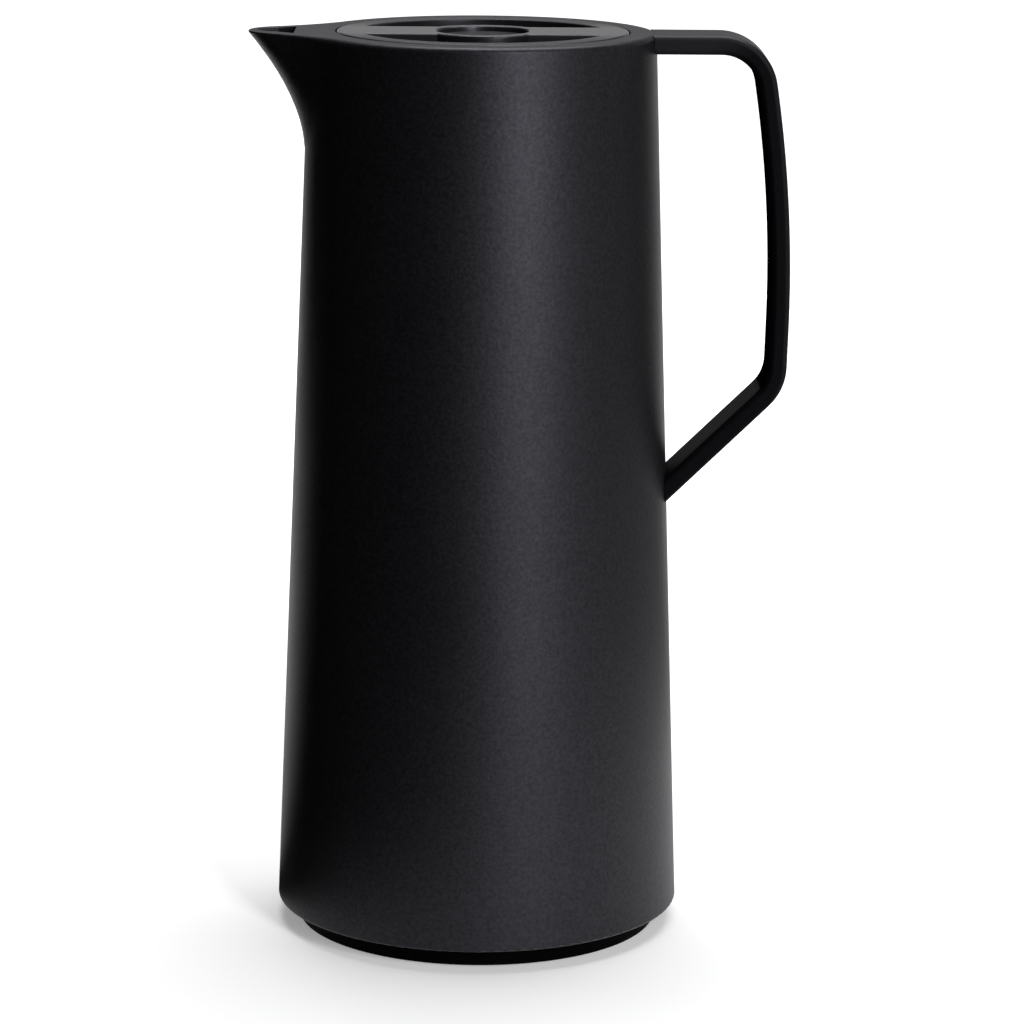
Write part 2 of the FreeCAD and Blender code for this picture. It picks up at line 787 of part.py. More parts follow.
def make_foot():
    """Plinth that screws into the shell, and the pad under it."""
    pad_body = turned("foot_pad", [
        (AXIS, AXIS),
        (pad_radius, AXIS),
        (pad_radius, s.pad_thickness),
        (AXIS, s.pad_thickness),
    ])
    holes = new_sketch(pad_body, "spanner", "XY_Plane")
    add_circle(holes, s.spanner_radius, spanner_reach, AXIS)
    add_circle(holes, s.spanner_radius, -spanner_reach, AXIS)
    pocket(pad_body, holes, s.pad_thickness, reverse=True)
    cap = turned("base_cap", [
        (AXIS, s.pad_thickness),
        (pad_radius + s.pad_gap, s.pad_thickness),
        (pad_radius + s.pad_gap, s.pad_proud),
        (plinth_radius, s.pad_proud),
        (plinth_radius, s.hem_height),
        (spigot_radius, s.hem_height),
        (spigot_radius, spigot_top),
        (spigot_radius - s.spigot_wall, spigot_top),
        (spigot_radius - s.spigot_wall, plinth_top),
        (AXIS, plinth_top),
    ])
    sockets = new_sketch(cap, "spanner", "XY_Plane", s.pad_thickness)
    add_circle(sockets, s.spanner_radius, spanner_reach, AXIS)
    add_circle(sockets, s.spanner_radius, -spanner_reach, AXIS)
    pocket(cap, sockets, s.spanner_depth, reverse=True)


def make_liner():
    """Double-walled glass: the inner flask carries the rolled lip, the outer one the sealed tip."""
    lip_under = mouth_height - s.lip_height
    wall = s.glass_wall
    turned("outer_flask", [
        (AXIS, flask_base - s.seal_tip_length),
        (s.seal_tip_radius, flask_base - s.seal_tip_length, s.seal_tip_round),
        (s.seal_tip_radius, flask_base),
        (flask_radius, flask_base, s.flask_base_round),
        (flask_radius, shoulder_height, s.shoulder_round),
        (neck_radius, shoulder_end, s.throat_round),
        (neck_radius, lip_under),
        (neck_radius - wall, lip_under),
        (neck_radius - wall, shoulder_end, s.throat_round + wall),
        (flask_radius - wall, shoulder_height, s.shoulder_round - wall),
        (flask_radius - wall, flask_base + wall, s.flask_base_round - wall),
        (AXIS, flask_base + wall),
    ])
    gap = s.vacuum_gap + wall
    outside = flask_radius - gap
    inside = outside - wall
    base = flask_base + gap
    throat = s.neck_bore + wall
    turned("inner_flask", [
        (AXIS, base),
        (outside, base, s.flask_base_round - gap),
        (outside, shoulder_height, s.shoulder_round - gap),
        (throat, shoulder_end, s.throat_round + gap),
        (throat, lip_under),
        (neck_radius, lip_under),
        (neck_radius, mouth_height, s.lip_round),
        (s.neck_bore, mouth_height, s.lip_round),
        (s.neck_bore, shoulder_end, s.throat_round + gap + wall),
        (inside, shoulder_height, s.shoulder_round - gap - wall),
        (inside, base + wall, s.flask_base_round - gap - wall),
        (AXIS, base + wall),
    ])
    make_spacers(float(outside + s.spacer_gap), float(flask_radius - wall - s.spacer_gap))
    turned("liner_cushion", [
        (s.cushion_bore, plinth_top),
        (cushion_radius, plinth_top),
        (cushion_radius - s.cushion_taper, flask_base),
        (s.cushion_bore, flask_base),
    ])
    sleeve = neck_radius + s.gasket_gap
    turned("neck_gasket", [
        (s.neck_bore + s.lip_round, mouth_height),
        (sleeve, mouth_height),
        (sleeve, mouth_height - s.gasket_skirt),
        (sleeve + s.gasket_wall, mouth_height - s.gasket_skirt),
        (sleeve + s.gasket_wall, gasket_top),
        (s.neck_bore + s.lip_round, gasket_top),
    ])


def make_spacers(inner, outer):
    """Pads in the vacuum gap that keep the two flasks apart."""
    size = float(s.spacer_size)
    low = float(s.spacer_height)
    angle = math.degrees(size / inner)
    axis = FreeCAD.Vector(0, 0, 1)
    place = FreeCAD.Vector(0, 0, low)
    sector = Part.makeCylinder(outer, size, place, axis, angle).cut(Part.makeCylinder(inner, size, place))
    count = DIMENSIONS["spacer_count"]
    turn = 360 / count
    pads = [sector.rotated(FreeCAD.Vector(0, 0, 0), axis, turn * index) for index in range(count)]
    shaped("flask_spacers", Part.makeCompound(pads))


def make_pour_collar():
    """Neck tube on the gasket, and the bowl that catches the pour and opens into the beak."""
    tube = collar_tube_bore + s.collar_tube_wall
    rim = bowl_bore + s.bowl_wall
    collar = turned("pour_collar", [
        (collar_tube_bore, gasket_top),
        (tube, gasket_top),
        (tube, bowl_floor),
        (rim, bowl_floor),
        (rim, deck_under),
        (bowl_bore, deck_under),
        (bowl_bore, bowl_top),
        (collar_tube_bore, bowl_top),
    ])
    window = new_sketch(collar, "window", "YZ_Plane", -rim)
    half = s.bowl_window_width / 2
    top = bowl_top + s.bowl_window_height
    draw(window, [(-half, bowl_top), (half, bowl_top), (half, top), (-half, top)])
    pocket(collar, window, rim, reverse=True)


def make_plug():
    """The part of the stopper that seats on the liner: a cup with the valve port, its seal and clip."""
    tube_top = plug_top + s.plug_tube_height
    turned("plug_cup", [
        (s.valve_port, plug_under),
        (plug_radius, plug_under),
        (plug_radius, plug_top),
        (plug_tube_radius, plug_top),
        (plug_tube_radius, tube_top),
        (plug_tube_radius - s.plug_tube_wall, tube_top),
        (plug_tube_radius - s.plug_tube_wall, plug_top),
        (s.valve_port + s.port_bevel, plug_top),
        (s.valve_port, plug_top - s.port_bevel),
    ])
    ring("plug_seal", plug_radius - s.plug_seal_width, plug_radius, gasket_top + s.seat_gap, plug_under)
    clip_inner = plug_tube_radius + s.retainer_gap
    clip_foot = skirt_foot + s.skirt_lip_height + s.turn_gap
    ring("plug_retainer", clip_inner, clip_inner + s.retainer_width, clip_foot, clip_foot + s.retainer_height)


def recess_outline(sketch, side):
    """One finger recess: a long arc by the lid's edge, the bar's straight sides and the boss between."""
    bar = s.bar_width / 2
    level = bar.number * side
    rim = recess_radius.number
    boss = boss_radius.number
    rim_x = math.sqrt(rim ** 2 - level ** 2)
    boss_x = math.sqrt(boss ** 2 - level ** 2)
    rim_angle = math.atan2(bar.number, rim_x)
    boss_angle = math.atan2(bar.number, boss_x)
    flip = 0 if side > 0 else math.pi
    normal = FreeCAD.Vector(0, 0, 1)
    origin = FreeCAD.Vector(0, 0, 0)

    def arc(radius, angle):
        circle = Part.Circle(origin, normal, radius)
        return sketch.addGeometry(Part.ArcOfCircle(circle, flip + angle, flip + math.pi - angle), False)

    def line(start, end):
        ends = [FreeCAD.Vector(x * side, level, 0) for x in (start, end)]
        return sketch.addGeometry(Part.LineSegment(*ends), False)

    outer = arc(rim, rim_angle)
    inner = arc(boss, boss_angle)
    right = line(boss_x, rim_x)
    left = line(-rim_x, -boss_x)
    joins = ((right, 2, outer, 1), (outer, 2, left, 1), (left, 2, inner, 2), (inner, 1, right, 1))
    for join in joins:
        sketch.addConstraint(Sketcher.Constraint("Coincident", *join))
    for curve, radius in ((outer, recess_radius), (inner, boss_radius)):
        sketch.addConstraint(Sketcher.Constraint("Coincident", curve, 3, -1, 1))
        bind(sketch, "Radius", curve, size=radius)
    for straight in (right, left):
        sketch.addConstraint(Sketcher.Constraint("Horizontal", straight))
        bind(sketch, "DistanceY", -1, 1, straight, 1, size=bar * side)


def make_lid_top():
    """Flush round lid with two finger recesses, a cross bar, a boss and the button's bore."""
    edge = lid_top_height - s.lid_seal_drop
    groove = lid_radius - s.lid_seal_depth
    lid = turned("lid_top", [
        (well_bore, lid_under),
        (lid_radius, lid_under),
        (lid_radius, edge - s.lid_seal_height),
        (groove, edge - s.lid_seal_height),
        (groove, edge),
        (lid_radius, edge),
        (lid_radius, lid_top_height, s.lid_round),
        (well_bore, lid_top_height, s.recess_round),
    ])
    recess = new_sketch(lid, "recess", "XY_Plane", lid_top_height)
    recess_outline(recess, 1)
    recess_outline(recess, -1)
    recesses = pocket(lid, recess, recess_depth)
    top = float(lid_top_height)
    rims = [f"Edge{index}" for index, edge_shape in enumerate(recesses.Shape.Edges, start=1)
            if recess_rim(edge_shape, top)]
    softened = lid.newObject("PartDesign::Fillet", "lid_top_softened")
    softened.Base = (recesses, rims)
    softened.setExpression("Radius", s.recess_round.text)
    doc.recompute()
    hole = new_sketch(lid, "screws", "XY_Plane", lid_under)
    add_screw_circle(hole, s.lid_screw_radius + s.screw_gap)
    around(lid, pocket(lid, hole, s.lid_screw_depth + s.lid_screw_tip_gap, reverse=True), s.lid_screw_count)
    seal_outer = lid_radius + s.lid_gap - s.lid_seal_gap
    seal_foot = edge - s.lid_seal_height + s.screw_gap
    ring("lid_seal", groove + s.screw_gap, seal_outer, seal_foot, edge - s.screw_gap)


def recess_rim(edge, top):
    """True for the top edges of the finger recesses."""
    box = edge.BoundBox
    reach = max(vertex.Point.Length for vertex in edge.Vertexes)
    level = abs(box.ZMin - top) < NEAR and abs(box.ZMax - top) < NEAR
    widest = math.hypot(float(recess_radius), top)
    narrowest = math.hypot(float(boss_radius), top)
    return level and narrowest - NEAR < reach < widest + NEAR


def add_screw_circle(sketch, radius):
    """The first hole on the ring of lid screws."""
    angle = math.radians(DIMENSIONS["lid_screw_start"])
    add_circle(sketch, radius, lid_screw_ring * math.cos(angle), lid_screw_ring * math.sin(angle))


def make_lid_skirt():
    """Flange under the lid with the button's well, the stem guide and the tube with pour windows."""
    floor_under = well_bottom - s.well_floor
    well_outer = well_bore + s.well_wall
    guide_bore = s.stem_radius + s.stem_gap
    seal_bore = guide_bore + s.stem_seal_width + s.stem_gap
    seal_seat = well_bottom - s.stem_seal_height
    skirt = turned("lid_skirt", [
        (guide_bore, floor_under - s.guide_length),
        (s.guide_radius, floor_under - s.guide_length),
        (s.guide_radius, floor_under),
        (well_outer, floor_under),
        (well_outer, skirt_flange_under),
        (skirt_tube_bore, skirt_flange_under),
        (skirt_tube_bore, skirt_foot + s.skirt_lip_height),
        (skirt_tube_bore - s.skirt_lip_width, skirt_foot + s.skirt_lip_height),
        (skirt_tube_bore - s.skirt_lip_width, skirt_foot),
        (skirt_tube_radius, skirt_foot),
        (skirt_tube_radius, skirt_flange_under),
        (skirt_flange_radius, skirt_flange_under),
        (skirt_flange_radius, lid_under),
        (well_bore, lid_under),
        (well_bore, well_bottom),
        (seal_bore, well_bottom),
        (seal_bore, seal_seat),
        (guide_bore, seal_seat),
    ])
    window = new_sketch(skirt, "window", "YZ_Plane", plug_tube_radius)
    half = s.pour_window_width / 2
    top = skirt_flange_under - s.pour_window_drop
    draw(window, [
        (-half, top - s.pour_window_height),
        (half, top - s.pour_window_height),
        (half, top),
        (-half, top),
    ])
    cut = pocket(skirt, window, skirt_tube_radius, reverse=True)
    around(skirt, cut, s.pour_window_count)
    hole = new_sketch(skirt, "screws", "XY_Plane", skirt_flange_under)
    add_screw_circle(hole, s.lid_screw_radius + s.screw_gap)
    around(skirt, pocket(skirt, hole, s.skirt_flange, reverse=True), s.lid_screw_count)
    ring("stem_seal", guide_bore, guide_bore + s.stem_seal_width, seal_seat, well_bottom)
    seat_top = well_bottom + s.seat_washer_thickness
    ring("spring_seat", guide_bore + s.stem_gap, s.seat_washer_radius, well_bottom, seat_top)


def make_lid_screws():
    """Screws from below that hold the skirt to the lid."""
    length = float(s.skirt_flange + s.lid_screw_depth)
    body = screw(float(s.lid_screw_radius), length, float(s.lid_screw_head), float(s.lid_screw_radius))
    body = body.translated(FreeCAD.Vector(float(lid_screw_ring), 0, float(skirt_flange_under)))
    count = DIMENSIONS["lid_screw_count"]
    start = DIMENSIONS["lid_screw_start"]
    turn = 360 / count
    axis = FreeCAD.Vector(0, 0, 1)
    origin = FreeCAD.Vector(0, 0, 0)
    screws = [body.rotated(origin, axis, start + turn * index) for index in range(count)]
    shaped("lid_screws", Part.makeCompound(screws))


def make_button():
    """Dished button with a boss for the valve stem."""
    inner = s.button_radius - s.button_skirt
    turned("button_cap", [
        (AXIS, stem_top),
        (s.stem_radius + s.stem_gap, stem_top),
        (s.stem_radius + s.stem_gap, button_boss_foot),
        (s.button_boss, button_boss_foot),
        (s.button_boss, button_ceiling),
        (inner, button_ceiling),
        (inner, button_foot),
        (s.button_radius, button_foot),
        (s.button_radius, button_edge, s.button_round),
        (s.button_radius - s.button_round * 2, button_edge),
        (s.button_dish_flat, button_edge - s.button_dish, s.button_dish_round),
        (AXIS, button_edge - s.button_dish),
    ])


def make_valve():
    """Stem, disc, seal and nut that the button pushes down into the liner's mouth."""
    tail = s.stem_tail
    bore = tail + s.stem_gap
    nut_under = valve_under - s.nut_height
    turned("valve_stem", [
        (AXIS, nut_under),
        (tail, nut_under),
        (tail, valve_face),
        (s.stem_radius, valve_face),
        (s.stem_radius, stem_top),
        (AXIS, stem_top),
    ])
    ring("valve_disc", bore, valve_radius, valve_under, valve_face)
    ring("valve_seal", s.stem_radius + s.stem_gap, valve_radius - s.port_bevel, valve_face, valve_top)
    ring("valve_nut", bore, s.nut_radius, nut_under, valve_under)


def arc_toward(start, corner, end):
    """An arc that leaves start toward corner and arrives at end from corner."""
    middle = (start + end) * 0.5
    rise = corner - middle
    half_chord = (end - start).Length / 2
    quarter = math.atan2(rise.Length, half_chord) / 2
    crest = middle + rise.normalize() * (half_chord * math.tan(quarter))
    return Part.Arc(start, crest, end)


POINTS_PER_ARC = 8


def least_gap(edges, turns):
    """The least distance between points of a coil that lie half a turn or more apart along it."""
    points = [place for edge in edges for place in edge.discretize(POINTS_PER_ARC)]
    half_turn = len(points) // turns // 2
    return min(place.distanceToPoint(other)
               for index, place in enumerate(points) for other in points[index + half_turn:])


def make_spring():
    """Return spring under the button: one wire wound on paired arcs, two to a quarter turn."""
    wire = float(s.wire_radius)
    radius = float(s.spring_radius)
    gap = float(s.spring_gap)
    low = float(well_bottom + s.seat_washer_thickness) + wire + gap
    high = float(button_ceiling) - wire - gap
    turns = DIMENSIONS["spring_turns"]
    steps = turns * 4
    climb = (high - low) / (2 * math.pi * turns)

    def point(angle):
        return FreeCAD.Vector(radius * math.cos(angle), radius * math.sin(angle), low + climb * angle)

    def heading(angle):
        return FreeCAD.Vector(-radius * math.sin(angle), radius * math.cos(angle), climb).normalize()

    edges = []
    quarter = math.pi / 2
    for step in range(steps):
        start, end = point(quarter * step), point(quarter * (step + 1))
        leave, arrive = heading(quarter * step), heading(quarter * (step + 1))
        span = end - start
        along = span.dot(leave + arrive)
        spread = 2 * (1 - leave.dot(arrive))
        reach = (math.sqrt(along ** 2 + spread * span.dot(span)) - along) / spread
        first, second = start + leave * reach, end - arrive * reach
        meet = (first + second) * 0.5
        edges += [arc_toward(start, first, meet).toShape(), arc_toward(meet, second, end).toShape()]
    path = Part.Wire(edges)
    section = Part.Wire([Part.Circle(point(0), heading(0), wire).toShape()])
    coil = path.makePipeShell([section], True, False)
    print(f"button_spring: least gap to itself {least_gap(edges, turns) - 2 * wire:.2f} mm")
    shaped("button_spring", coil)


shaped("outer_shell", make_outer_shell())
shaped("spout_trough", make_spout_trough())
make_handle()
make_handle_fixing()
make_foot()
make_liner()
make_pour_collar()
make_plug()
make_lid_top()
make_lid_skirt()
make_lid_screws()
make_button()
make_valve()
make_spring()
doc.recompute()

for item in doc.Objects:
    assert not {"Invalid", "Error"} & set(item.State), f"{item.Label}: {item.State}"
for item in PIECES:
    assert not item.Shape.isNull() and item.Shape.isValid(), item.Label
    assert item.Shape.Solids, item.Label

os.makedirs("parts", exist_ok=True)
for item in PIECES:
    item.Shape.exportStep(f"parts/{item.Label}.step")
    print(f"{item.Label}: {len(item.Shape.Solids)} solid, {item.Shape.Volume / 1000:.2f} cm3")
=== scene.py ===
"""Thermal carafe: finishes, small trim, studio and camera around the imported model. Metres, +Z up."""
import json
import math

import bmesh
import bpy
from mathutils import Matrix, Vector


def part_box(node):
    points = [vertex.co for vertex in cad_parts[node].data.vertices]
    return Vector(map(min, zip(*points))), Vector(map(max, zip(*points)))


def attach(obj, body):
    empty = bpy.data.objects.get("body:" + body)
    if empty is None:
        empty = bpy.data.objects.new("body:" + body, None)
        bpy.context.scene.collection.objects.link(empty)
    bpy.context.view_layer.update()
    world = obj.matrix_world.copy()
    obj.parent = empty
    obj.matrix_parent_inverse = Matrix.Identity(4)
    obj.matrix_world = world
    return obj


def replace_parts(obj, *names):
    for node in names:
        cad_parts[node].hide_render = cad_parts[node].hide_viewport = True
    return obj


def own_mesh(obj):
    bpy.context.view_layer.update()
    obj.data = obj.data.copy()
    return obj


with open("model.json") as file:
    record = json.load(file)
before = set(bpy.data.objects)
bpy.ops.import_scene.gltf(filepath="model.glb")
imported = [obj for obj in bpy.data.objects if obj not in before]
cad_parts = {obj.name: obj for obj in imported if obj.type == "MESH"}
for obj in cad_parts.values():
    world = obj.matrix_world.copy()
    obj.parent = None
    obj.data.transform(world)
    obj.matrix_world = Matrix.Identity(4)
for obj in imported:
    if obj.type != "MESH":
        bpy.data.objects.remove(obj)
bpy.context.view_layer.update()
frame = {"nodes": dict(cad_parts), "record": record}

MM = 0.001


# Node helpers

# most of a noise lies between these values
NOISE_LOW = 0.3
NOISE_HIGH = 0.7


def new_material(name):
    """A material, its node tree and its principled shader."""
    material = bpy.data.materials.new(name)
    material.use_nodes = True
    tree = material.node_tree
    return material, tree, tree.nodes["Principled BSDF"]


def set_sockets(node, **sockets):
    """Sets some of a node's input sockets. A socket's name has _ for each space."""
    for name, value in sockets.items():
        node.inputs[name.replace("_", " ")].default_value = value


def add_node(tree, kind, **sockets):
    """A new node with some of its input sockets set."""
    node = tree.nodes.new(kind)
    set_sockets(node, **sockets)
    return node


def combine(tree, operation, *values):
    """The result of a sum or another operation on values."""
    node = tree.nodes.new("ShaderNodeMath")
    node.operation = operation
    for value, socket in zip(values, node.inputs):
        tree.links.new(value, socket)
    return node.outputs["Value"]


def component(tree, vector, direction):
    """The part of a vector that lies along a direction."""
    product = tree.nodes.new("ShaderNodeVectorMath")
    product.operation = "DOT_PRODUCT"
    product.inputs[1].default_value = direction
    tree.links.new(vector, product.inputs[0])
    return product.outputs["Value"]


def place_of(tree, stretch=(1, 1, 1)):
    """The point on the piece, in metres, stretched along each axis."""
    where = tree.nodes.new("ShaderNodeTexCoord")
    mapping = add_node(tree, "ShaderNodeMapping", Scale=stretch)
    tree.links.new(where.outputs["Object"], mapping.inputs["Vector"])
    return mapping.outputs["Vector"]


def along(tree, direction):
    """How far a point of the piece lies along a direction, in metres."""
    return component(tree, place_of(tree), direction)


def facing(tree, direction):
    """How far a face looks in a direction: 1 straight along it, 0 square to it, -1 away from it."""
    where = tree.nodes.new("ShaderNodeTexCoord")
    return component(tree, where.outputs["Normal"], direction)


def grain(tree, cell, detail=2.0, roughness=0.5, stretch=(1, 1, 1)):
    """Noise whose blobs are about one cell wide, in metres."""
    noise = add_node(tree, "ShaderNodeTexNoise", Scale=1 / cell, Detail=detail, Roughness=roughness)
    tree.links.new(place_of(tree, stretch), noise.inputs["Vector"])
    return noise.outputs["Fac"]


def spread(tree, value, first, last, start=NOISE_LOW, end=NOISE_HIGH):
    """A number that goes from first to last as the value goes from start to end."""
    mapped = add_node(tree, "ShaderNodeMapRange", From_Min=start, From_Max=end, To_Min=first, To_Max=last)
    tree.links.new(value, mapped.inputs["Value"])
    return mapped.outputs["Result"]


def tint(tree, value, dark, light, start=NOISE_LOW, end=NOISE_HIGH):
    """A colour that goes from dark to light as the value goes from start to end."""
    ramp = tree.nodes.new("ShaderNodeValToRGB")
    for element, place, colour in zip(ramp.color_ramp.elements, (start, end), (dark, light)):
        element.position = place
        element.color = (*colour, 1)
    tree.links.new(value, ramp.inputs["Fac"])
    return ramp.outputs["Color"]


def bumps(tree, layers):
    """A normal from layers of (height value, depth in metres, strength), laid one over the other."""
    normal = None
    for height, depth, strength in layers:
        bump = add_node(tree, "ShaderNodeBump", Strength=strength, Distance=depth)
        tree.links.new(height, bump.inputs["Height"])
        if normal is not None:
            tree.links.new(normal, bump.inputs["Normal"])
        normal = bump.outputs["Normal"]
    return normal


def finish_surface(tree, shader, colour, roughness, normal, specular=None):
    """Links what varies over a surface to the shader."""
    sources = {
        "Base Color": colour, "Roughness": roughness, "Normal": normal, "Specular IOR Level": specular}
    for name, source in sources.items():
        if source is not None:
            tree.links.new(source, shader.inputs[name])


# Materials: one for each slot of the record, and the handle's own

# the photograph's blacks have a cool reflection
COOL_GLOSS = (0.885, 0.855, 1.0, 1)


def textured_black():
    """Moulded black plastic with a fine spark-eroded grain."""
    material, tree, shader = new_material("textured_black")
    fine = grain(tree, 0.5 * MM, detail=2.0, roughness=0.6)
    coarse = grain(tree, 1.1 * MM, detail=1.5, roughness=0.6)
    cloud = grain(tree, 40 * MM, detail=2.0)
    set_sockets(shader, Specular_Tint=COOL_GLOSS)
    finish_surface(
        tree, shader,
        colour=tint(tree, coarse, (0.0014, 0.0014, 0.0016), (0.0034, 0.0033, 0.0039)),
        roughness=spread(tree, cloud, 0.46, 0.50),
        normal=bumps(tree, [(coarse, 0.12 * MM, 0.40), (fine, 0.04 * MM, 0.4)]),
        specular=spread(tree, coarse, 0.30, 0.43),
    )
    return material


# outwards and up; the more a face looks that way, the less dull it is, and then the more rubbed
HANDLE_OUTSIDE = (0.8, 0, 0.6)
DULL_TO_PLAIN = {"start": -0.3, "end": -0.02}
PLAIN_TO_RUBBED = {"start": 0.1, "end": 0.6}
# up and towards the body; along it the handle goes from its bend to its top run, whose colour is painted
# lighter as painted light
TOP_RUN_WAY = (-1, 0, 1)
BEND_TO_TOP_RUN = {"start": 192 * MM, "end": 207 * MM}


def handle_black():
    """The shell's plastic with a finer grain, and painted light: a lighter grey colour on the top run.

    It is dull on the inside, and rubbed smoother by the hand outside and on top.
    """
    material, tree, shader = new_material("handle_black")
    fine = grain(tree, 0.3 * MM, detail=2.0, roughness=0.6)
    outside = facing(tree, HANDLE_OUTSIDE)
    sides = spread(tree, outside, 0.0, 0.05, **DULL_TO_PLAIN)
    rubbed = spread(tree, outside, 0.0, 0.22, **PLAIN_TO_RUBBED)
    speckle = spread(tree, fine, 0.0, 0.1)
    # painted light: the base colour grows lighter up the top run, standing in for light falling on it; the
    # grey mixes the real speckled grain with it
    painted_light_top_run = spread(tree, along(tree, TOP_RUN_WAY), 0.0, 0.75, **BEND_TO_TOP_RUN)
    grey = combine(tree, "ADD", speckle, painted_light_top_run)
    set_sockets(shader, Specular_Tint=COOL_GLOSS)
    finish_surface(
        tree, shader,
        colour=tint(tree, grey, (0.0010, 0.0010, 0.0012), (0.0130, 0.0130, 0.0152), start=0, end=1),
        roughness=spread(tree, outside, 0.66, 0.50, **PLAIN_TO_RUBBED),
        normal=bumps(tree, [(fine, 0.012 * MM, 0.4)]),
        specular=combine(tree, "ADD", sides, rubbed),
    )
    return material


# distance from the middle line of the lid's cross bar, from about the bar's edge out towards the ring
BAR_TO_RING = {"start": 10 * MM, "end": 26 * MM}


def lid_black():
    """Satin black plastic, rubbed smoother along the cross bar that the fingers turn."""
    material, tree, shader = new_material("lid_black")
    fine = grain(tree, 0.25 * MM, detail=1.0)
    cloud = grain(tree, 18 * MM, detail=3.0)
    off_bar = combine(tree, "ABSOLUTE", along(tree, (0, 1, 0)))
    set_sockets(shader, Specular_Tint=COOL_GLOSS)
    finish_surface(
        tree, shader,
        colour=tint(tree, cloud, (0.0055, 0.0055, 0.0063), (0.0080, 0.0079, 0.0090)),
        roughness=spread(tree, off_bar, 0.31, 0.40, **BAR_TO_RING),
        normal=bumps(tree, [(fine, 0.01 * MM, 0.3)]),
        specular=spread(tree, off_bar, 0.52, 0.29, **BAR_TO_RING),
    )
    return material


def inner_black():
    """Black food-safe plastic with a faint gloss."""
    material, tree, shader = new_material("inner_black")
    fine = grain(tree, 0.4 * MM, detail=1.0)
    cloud = grain(tree, 12 * MM, detail=3.0)
    finish_surface(
        tree, shader,
        colour=tint(tree, cloud, (0.006, 0.006, 0.0066), (0.009, 0.009, 0.0099)),
        roughness=spread(tree, cloud, 0.30, 0.42),
        normal=bumps(tree, [(fine, 0.012 * MM, 0.3)]),
    )
    return material


def plinth_black():
    """Black satin plastic, its colour painted darker than the shell's as painted shade under the shell's
    overhang.
    """
    material, tree, shader = new_material("plinth_black")
    fine = grain(tree, 0.3 * MM, detail=1.0)
    cloud = grain(tree, 15 * MM, detail=3.0)
    set_sockets(shader, Specular_IOR_Level=0.02, Specular_Tint=COOL_GLOSS)
    finish_surface(
        tree, shader,
        # painted shade: a near-black colour, darker than the shell's, for the shade under the overhang
        colour=tint(tree, cloud, (0.0004, 0.0004, 0.0005), (0.0009, 0.0009, 0.0011)),
        roughness=spread(tree, cloud, 0.50, 0.60),
        normal=bumps(tree, [(fine, 0.01 * MM, 0.3)]),
    )
    return material


def foot_rubber():
    """Matte black rubber, slightly dusty."""
    material, tree, shader = new_material("foot_rubber")
    fine = grain(tree, 0.6 * MM, detail=3.0, roughness=0.7)
    cloud = grain(tree, 9 * MM, detail=4.0)
    set_sockets(shader, Specular_IOR_Level=0.3)
    finish_surface(
        tree, shader,
        colour=tint(tree, cloud, (0.010, 0.010, 0.010), (0.018, 0.018, 0.0175)),
        roughness=spread(tree, cloud, 0.72, 0.86),
        normal=bumps(tree, [(fine, 0.05 * MM, 0.5)]),
    )
    return material


def silicone():
    """Grey food-safe silicone, soft and a little translucent."""
    material, tree, shader = new_material("silicone")
    fine = grain(tree, 0.5 * MM, detail=2.0)
    cloud = grain(tree, 8 * MM, detail=3.0)
    set_sockets(
        shader,
        Subsurface_Weight=0.15, Subsurface_Radius=(1.2 * MM, 1.2 * MM, 1.1 * MM), Subsurface_Scale=1.0)
    finish_surface(
        tree, shader,
        colour=tint(tree, cloud, (0.28, 0.29, 0.30), (0.36, 0.37, 0.38)),
        roughness=spread(tree, cloud, 0.46, 0.58),
        normal=bumps(tree, [(fine, 0.02 * MM, 0.35)]),
    )
    return material


def silvered_glass():
    """Blown glass, silvered behind: a mirror with faint ripples under a clear coat."""
    material, tree, shader = new_material("silvered_glass")
    ripple = grain(tree, 30 * MM, detail=2.0)
    streak = grain(tree, 6 * MM, detail=3.0, stretch=(1, 1, 0.2))
    set_sockets(shader, Metallic=1.0, Coat_Weight=0.6, Coat_Roughness=0.02)
    finish_surface(
        tree, shader,
        colour=tint(tree, streak, (0.74, 0.77, 0.78), (0.84, 0.86, 0.87)),
        roughness=spread(tree, streak, 0.04, 0.10),
        normal=bumps(tree, [(ripple, 0.6 * MM, 0.15)]),
    )
    return material


def spacer_ceramic():
    """Pale pressed ceramic fibre."""
    material, tree, shader = new_material("spacer_ceramic")
    fibre = grain(tree, 0.5 * MM, detail=4.0, roughness=0.7, stretch=(1, 1, 3))
    finish_surface(
        tree, shader,
        colour=tint(tree, fibre, (0.62, 0.59, 0.53), (0.80, 0.77, 0.71)),
        roughness=spread(tree, fibre, 0.82, 0.95),
        normal=bumps(tree, [(fibre, 0.1 * MM, 0.6)]),
    )
    return material


def steel():
    """Plain stainless steel with fine drawn lines."""
    material, tree, shader = new_material("steel")
    lines = grain(tree, 0.3 * MM, detail=3.0, roughness=0.6, stretch=(1, 1, 12))
    set_sockets(shader, Metallic=1.0)
    finish_surface(
        tree, shader,
        colour=tint(tree, lines, (0.52, 0.52, 0.53), (0.66, 0.66, 0.67)),
        roughness=spread(tree, lines, 0.24, 0.36),
        normal=bumps(tree, [(lines, 0.008 * MM, 0.4)]),
    )
    return material


MATERIALS = {make.__name__: make() for make in (
    textured_black, handle_black, lid_black, inner_black, plinth_black, foot_rubber,
    silicone, silvered_glass, spacer_ceramic, steel)}
OWN_FINISH = {"handle": "handle_black"}


def dress_nodes():
    """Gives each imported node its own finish, or else the material of its slot."""
    for part in frame["record"]["subparts"]:
        node = frame["nodes"][part["node"]]
        node.data.materials.clear()
        node.data.materials.append(MATERIALS[OWN_FINISH.get(part["node"], part["material_slot"])])


dress_nodes()


# Small trim

def quads(base, rows, across, closed):
    """Faces between neighbouring rows of points, the first of which is number base.

    Each row has the same number of points across, and a closed row joins its two ends.
    """
    faces = []
    for row in range(rows - 1):
        near = base + across * row
        far = near + across
        for side in range(across if closed else across - 1):
            after = (side + 1) % across
            faces.append((near + side, near + after, far + after, far + side))
    return faces


